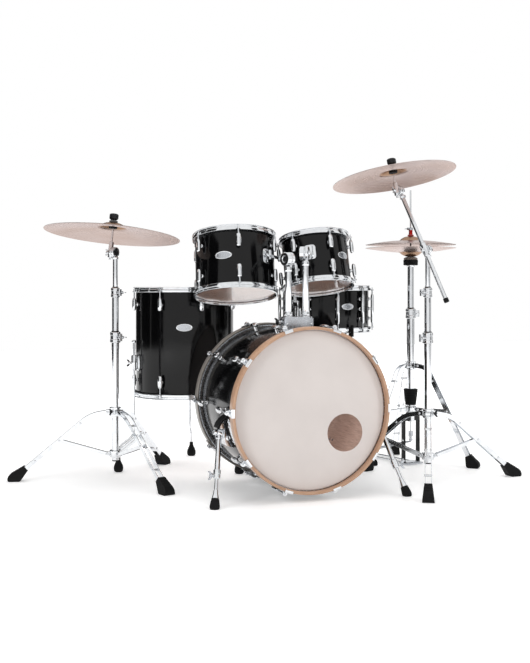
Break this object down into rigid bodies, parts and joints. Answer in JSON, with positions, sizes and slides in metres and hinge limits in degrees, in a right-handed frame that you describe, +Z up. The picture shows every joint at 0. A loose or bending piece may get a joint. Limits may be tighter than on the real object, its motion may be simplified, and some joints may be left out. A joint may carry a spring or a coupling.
{
  "type": "acoustic drum kit",
  "caption": "Acoustic drum kit: bass drum on spurs with rack toms, floor tom, snare on its stand, hi-hat, ride and boom-mounted crash, with pedals that move.",
  "frame": {"origin": "middle of the kit's bounding box, on the floor", "axes": "+Z up, the front head of the bass drum faces -Y and the player sits on the +Y side, +X is to the right seen from the front"},
  "size_m": [1.9506, 1.3102, 1.2552],
  "materials": {
    "black_lacquer": "gloss black lacquer over ply",
    "chrome": "polished chrome plating",
    "maple": "clear-lacquered natural maple",
    "film_white": "coated white polyester film",
    "film_clear": "clear polyester film",
    "cymbal_bronze": "lathed and hammered bronze",
    "rubber": "matt black rubber",
    "steel": "brushed steel",
    "felt": "pressed wool felt"
  },
  "bodies": {
    "kit": {"bass_shell": "black_lacquer", "bass_hoops": "maple", "bass_heads": "film_white", "bass_lugs": "chrome", "bass_claws": "chrome", "bass_brackets": "chrome", "floor_tom_shell": "black_lacquer", "floor_tom_hoops": "chrome", "floor_tom_heads": "film_clear", "floor_tom_lugs": "chrome", "ride_stand_base": "chrome", "crash_stand_base": "chrome", "hihat_stand_base": "chrome", "snare_stand_base": "chrome", "stand_feet": "rubber", "kick_pedal_frame": "steel"},
    "spur_left": {"spur_left": "chrome"},
    "spur_right": {"spur_right": "chrome"},
    "floor_tom_leg_left": {"floor_tom_leg_left": "chrome"},
    "floor_tom_leg_rear": {"floor_tom_leg_rear": "chrome"},
    "floor_tom_leg_right": {"floor_tom_leg_right": "chrome"},
    "tom_post_left": {"tom_post_left": "chrome"},
    "tom_post_right": {"tom_post_right": "chrome"},
    "tom_12": {"tom_12_shell": "black_lacquer", "tom_12_hoops": "chrome", "tom_12_heads": "film_clear", "tom_12_lugs": "chrome", "tom_12_mount": "chrome"},
    "tom_10": {"tom_10_shell": "black_lacquer", "tom_10_hoops": "chrome", "tom_10_heads": "film_clear", "tom_10_lugs": "chrome", "tom_10_mount": "chrome"},
    "snare_stand_tube": {"snare_stand_tube": "chrome"},
    "snare": {"snare_basket": "chrome", "snare_shell": "black_lacquer", "snare_hoops": "chrome", "snare_heads": "film_white", "snare_lugs": "chrome", "snare_wires": "steel"},
    "strainer_lever": {"strainer_lever": "chrome"},
    "ride_mid_tube": {"ride_mid_tube": "chrome"},
    "ride_top_tube": {"ride_top_tube": "chrome"},
    "ride_tilter": {"ride_tilter": "chrome"},
    "ride_felts": {"ride_felts": "felt"},
    "ride_cymbal": {"ride_cymbal": "cymbal_bronze"},
    "crash_mid_tube": {"crash_mid_tube": "chrome"},
    "crash_top_tube": {"crash_top_tube": "chrome"},
    "crash_clamp": {"crash_clamp": "chrome"},
    "crash_arm": {"crash_arm": "chrome"},
    "crash_tilter": {"crash_tilter": "chrome"},
    "crash_felts": {"crash_felts": "felt"},
    "crash_cymbal": {"crash_cymbal": "cymbal_bronze"},
    "hihat_upper_tube": {"hihat_upper_tube": "chrome"},
    "hihat_bottom_cymbal": {"hihat_bottom_cymbal": "cymbal_bronze"},
    "hihat_rod": {"hihat_rod": "chrome"},
    "hihat_top_cymbal": {"hihat_top_cymbal": "cymbal_bronze"},
    "hihat_footboard": {"hihat_footboard": "steel"},
    "kick_footboard": {"kick_footboard": "steel"},
    "kick_beater": {"kick_beater": "chrome"}
  },
  "joints": [
    {"name": "spur_right_fold", "type": "hinge", "parent": "kit", "child": "spur_right", "pos_m": [0.3028, -0.3787, 0.237], "axis": [0.9759, 0, 0.2182], "range_deg": [0, 100]},
    {"name": "spur_left_fold", "type": "hinge", "parent": "kit", "child": "spur_left", "pos_m": [-0.2912, -0.3787, 0.237], "axis": [0.9759, 0, -0.2182], "range_deg": [0, 100]},
    {"name": "floor_tom_leg_left_slide", "type": "slide", "parent": "kit", "child": "floor_tom_leg_left", "axis": [0, 0, 1], "range_m": [-0.05, 0.06]},
    {"name": "floor_tom_leg_rear_slide", "type": "slide", "parent": "kit", "child": "floor_tom_leg_rear", "axis": [0, 0, 1], "range_m": [-0.05, 0.06]},
    {"name": "floor_tom_leg_right_slide", "type": "slide", "parent": "kit", "child": "floor_tom_leg_right", "axis": [0, 0, 1], "range_m": [-0.05, 0.06]},
    {"name": "tom_post_left_slide", "type": "slide", "parent": "kit", "child": "tom_post_left", "axis": [0, 0, 1], "range_m": [0, 0.04]},
    {"name": "tom_post_right_slide", "type": "slide", "parent": "kit", "child": "tom_post_right", "axis": [0, 0, 1], "range_m": [0, 0.03]},
    {"name": "tom_12_tilt", "type": "hinge", "parent": "tom_post_left", "child": "tom_12", "pos_m": [-0.0272, -0.3317, 0.852], "axis": [-0.9382, -0.346, 0], "range_deg": [-6, 2]},
    {"name": "tom_10_tilt", "type": "hinge", "parent": "tom_post_right", "child": "tom_10", "pos_m": [0.0388, -0.3317, 0.874], "axis": [-0.8614, 0.5079, 0], "range_deg": [-2, 3]},
    {"name": "snare_height", "type": "slide", "parent": "kit", "child": "snare_stand_tube", "axis": [0, 0, 1], "range_m": [-0.02, 0.01]},
    {"name": "snare_tilt", "type": "hinge", "parent": "snare_stand_tube", "child": "snare", "pos_m": [0.3128, 0.1543, 0.485], "axis": [-0.8788, 0.4772, 0], "range_deg": [0, 12]},
    {"name": "strainer_throw", "type": "hinge", "parent": "snare", "child": "strainer_lever", "pos_m": [0.14662, 0.06219, 0.693], "axis": [0.4848, -0.8746, 0], "range_deg": [0, 95]},
    {"name": "ride_mid_slide", "type": "slide", "parent": "kit", "child": "ride_mid_tube", "axis": [0, 0, 1], "range_m": [-0.03, 0.15]},
    {"name": "ride_top_slide", "type": "slide", "parent": "ride_mid_tube", "child": "ride_top_tube", "axis": [0, 0, 1], "range_m": [-0.03, 0.15]},
    {"name": "ride_tilt", "type": "hinge", "parent": "ride_top_tube", "child": "ride_tilter", "pos_m": [-0.5682, 0.1653, 0.888], "axis": [-0.5736, 0.8192, 0], "range_deg": [-17, 10]},
    {"name": "ride_rock", "type": "hinge", "parent": "ride_tilter", "child": "ride_felts", "pos_m": [-0.57044, 0.19547, 1.00397], "axis": [-0.5736, 0.8192, 0], "range_deg": [-6, 6], "stiffness_Nm_per_rad": 1.5},
    {"name": "ride_spin", "type": "hinge", "parent": "ride_felts", "child": "ride_cymbal", "pos_m": [-0.57044, 0.19547, 1.00397], "axis": [0.1083, 0.0759, 0.9912], "continuous": true},
    {"name": "crash_mid_slide", "type": "slide", "parent": "kit", "child": "crash_mid_tube", "axis": [0, 0, 1], "range_m": [-0.02, 0.15]},
    {"name": "crash_top_slide", "type": "slide", "parent": "crash_mid_tube", "child": "crash_top_tube", "axis": [0, 0, 1], "range_m": [-0.02, 0.15]},
    {"name": "boom_lean", "type": "hinge", "parent": "crash_top_tube", "child": "crash_clamp", "pos_m": [0.5628, -0.2787, 0.894], "axis": [-0.848, -0.5299, 0], "range_deg": [-9, 10]},
    {"name": "boom_slide", "type": "slide", "parent": "crash_clamp", "child": "crash_arm", "axis": [-0.2298, 0.3678, 0.9011], "range_m": [-0.02, 0.1]},
    {"name": "crash_tilt", "type": "hinge", "parent": "crash_arm", "child": "crash_tilter", "pos_m": [0.48505, -0.19484, 1.12738], "axis": [-0.848, -0.5299, 0], "range_deg": [-20, 7]},
    {"name": "crash_rock", "type": "hinge", "parent": "crash_tilter", "child": "crash_felts", "pos_m": [0.45363, -0.19363, 1.21665], "axis": [-0.848, -0.5299, 0], "range_deg": [-6, 6], "stiffness_Nm_per_rad": 1.5},
    {"name": "crash_spin", "type": "hinge", "parent": "crash_felts", "child": "crash_cymbal", "pos_m": [0.45363, -0.19363, 1.21665], "axis": [-0.1029, 0.1647, 0.981], "continuous": true},
    {"name": "hihat_height", "type": "slide", "parent": "kit", "child": "hihat_upper_tube", "axis": [0, 0, 1], "range_m": [-0.06, 0]},
    {"name": "hihat_bottom_spin", "type": "hinge", "parent": "hihat_upper_tube", "child": "hihat_bottom_cymbal", "pos_m": [0.6888, 0.1223, 0.882], "axis": [0, 0, 1], "continuous": true},
    {"name": "hihat_rod_stroke", "type": "slide", "parent": "kit", "child": "hihat_rod", "axis": [0, 0, 1], "range_m": [-0.012, 0], "stiffness_N_per_m": 1500, "springref_m": 0.02},
    {"name": "hihat_top_spin", "type": "hinge", "parent": "hihat_rod", "child": "hihat_top_cymbal", "pos_m": [0.6888, 0.1223, 0.966], "axis": [0, 0, 1], "continuous": true},
    {"name": "hihat_pedal", "type": "hinge", "parent": "kit", "child": "hihat_footboard", "pos_m": [0.61504, 0.39759, 0.014], "axis": [-0.9659, -0.2588, 0], "range_deg": [-2.5, 0]},
    {"name": "kick_pedal", "type": "hinge", "parent": "kit", "child": "kick_footboard", "pos_m": [0.0058, 0.2783, 0.016], "axis": [1, 0, 0], "range_deg": [0, 5.7]},
    {"name": "kick_beater_swing", "type": "hinge", "parent": "kit", "child": "kick_beater", "pos_m": [0.0058, 0.0483, 0.195], "axis": [1, 0, 0], "range_deg": [0, 41], "stiffness_Nm_per_rad": 0.6, "springref_deg": -45.84}
  ],
  "couplings": [
    {"joint": "hihat_rod_stroke", "follows": "hihat_pedal", "m_per_rad": 0.273},
    {"joint": "kick_pedal", "follows": "kick_beater_swing", "ratio": 0.13902}
  ]
}
